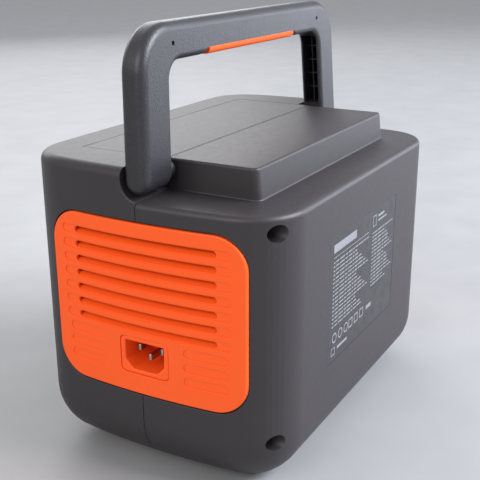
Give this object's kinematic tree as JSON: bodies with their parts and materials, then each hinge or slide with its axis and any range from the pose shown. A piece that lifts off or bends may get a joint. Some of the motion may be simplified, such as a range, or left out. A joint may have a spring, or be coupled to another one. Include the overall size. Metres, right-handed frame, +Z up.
{
  "type": "portable power station",
  "caption": "Box-shaped portable power station with a fold-down carrying handle, orange end vent panels, a mains inlet, and outlets on the front.",
  "frame": {"origin": "centre of the footprint at the height of the feet's underside", "axes": "+X towards the end with the mains inlet, +Y towards the labelled back, +Z up"},
  "size_m": [0.23, 0.153, 0.2343],
  "materials": {
    "housing": "fine matte spark-eroded grain, warm charcoal",
    "handle_plastic": "pebbled matte grain, charcoal",
    "orange_plastic": "smooth satin orange",
    "orange_rubber": "soft matte orange",
    "black_plastic": "matte black",
    "button_plastic": "satin dark grey",
    "label_film": "printed film with plain pale bars",
    "foot_rubber": "matte black rubber",
    "filter_cloth": "woven black mesh",
    "display_glass": "smoked window",
    "screw_steel": "zinc-plated steel",
    "black_steel": "black oxidised steel",
    "contact_metal": "nickel-plated contact metal",
    "contact_brass": "plain brass",
    "heat_sink_metal": "extruded aluminium",
    "board": "green solder mask",
    "cell_sleeve": "metal can in a blue shrink sleeve",
    "capacitor_sleeve": "dark shrink sleeve",
    "transformer_core": "wound core with amber tape",
    "copper_wire": "lacquered copper winding",
    "lead_brown": "brown insulated lead",
    "lead_red": "red insulated lead"
  },
  "bodies": {
    "housing": {"front_shell": "housing", "rear_shell": "housing", "top_panel": "housing", "right_vent_panel": "orange_plastic", "left_vent_panel": "orange_plastic", "right_dust_filter": "filter_cloth", "left_dust_filter": "filter_cloth", "ac_inlet_body": "orange_plastic", "ac_inlet_pins": "contact_metal", "rating_label": "label_film", "rubber_feet": "foot_rubber", "housing_screws": "screw_steel", "hinge_pins": "black_steel", "hinge_washers": "black_plastic", "front_fascia": "black_plastic", "display_lens": "display_glass", "display_module": "board", "button_switches": "contact_metal", "car_socket": "black_plastic", "car_socket_contact": "contact_metal", "cap_hinge_pin": "black_steel", "ac_outlet_body": "black_plastic", "ac_outlet_contacts": "contact_brass", "usb_c_ports": "contact_metal", "usb_a_port": "contact_metal", "dc_input_jack": "black_plastic", "port_board": "board", "battery_cells": "cell_sleeve", "cell_holders": "black_plastic", "bus_bars": "contact_metal", "battery_clamp": "screw_steel", "battery_board": "board", "main_board": "board", "heat_sinks": "heat_sink_metal", "transformer": "transformer_core", "capacitors": "capacitor_sleeve", "inductor": "copper_wire", "relay": "black_plastic", "board_standoffs": "contact_brass", "board_screws": "screw_steel", "fan_frame": "black_plastic", "fan_screws": "screw_steel", "inlet_leads": "lead_brown", "battery_leads": "lead_red"},
    "handle": {"handle_frame": "handle_plastic", "handle_grip": "orange_rubber", "handle_screws": "screw_steel"},
    "power_button": {"power_button": "button_plastic"},
    "dc_button": {"dc_button": "button_plastic"},
    "ac_button": {"ac_button": "button_plastic"},
    "car_socket_cap": {"car_socket_cap": "foot_rubber"},
    "fan_rotor": {"fan_rotor": "black_plastic"}
  },
  "joints": [
    {"name": "handle_hinge", "type": "hinge", "parent": "housing", "child": "handle", "pos_m": [0, 0, 0.1612], "axis": [-1, 0, 0], "range_deg": [0, 92.5]},
    {"name": "power_button_press", "type": "slide", "parent": "housing", "child": "power_button", "axis": [0, 1, 0], "range_m": [0, 0.0008], "stiffness_N_per_m": 400, "springref_m": -0.0008},
    {"name": "dc_button_press", "type": "slide", "parent": "housing", "child": "dc_button", "axis": [0, 1, 0], "range_m": [0, 0.0008], "stiffness_N_per_m": 400, "springref_m": -0.0008},
    {"name": "ac_button_press", "type": "slide", "parent": "housing", "child": "ac_button", "axis": [0, 1, 0], "range_m": [0, 0.0008], "stiffness_N_per_m": 400, "springref_m": -0.0008},
    {"name": "cap_hinge", "type": "hinge", "parent": "housing", "child": "car_socket_cap", "pos_m": [-0.052, -0.0753, 0.1305], "axis": [-1, 0, 0], "range_deg": [0, 110]},
    {"name": "fan_spin", "type": "hinge", "parent": "housing", "child": "fan_rotor", "pos_m": [-0.1, 0.002, 0.104], "axis": [1, 0, 0], "continuous": true}
  ]
}
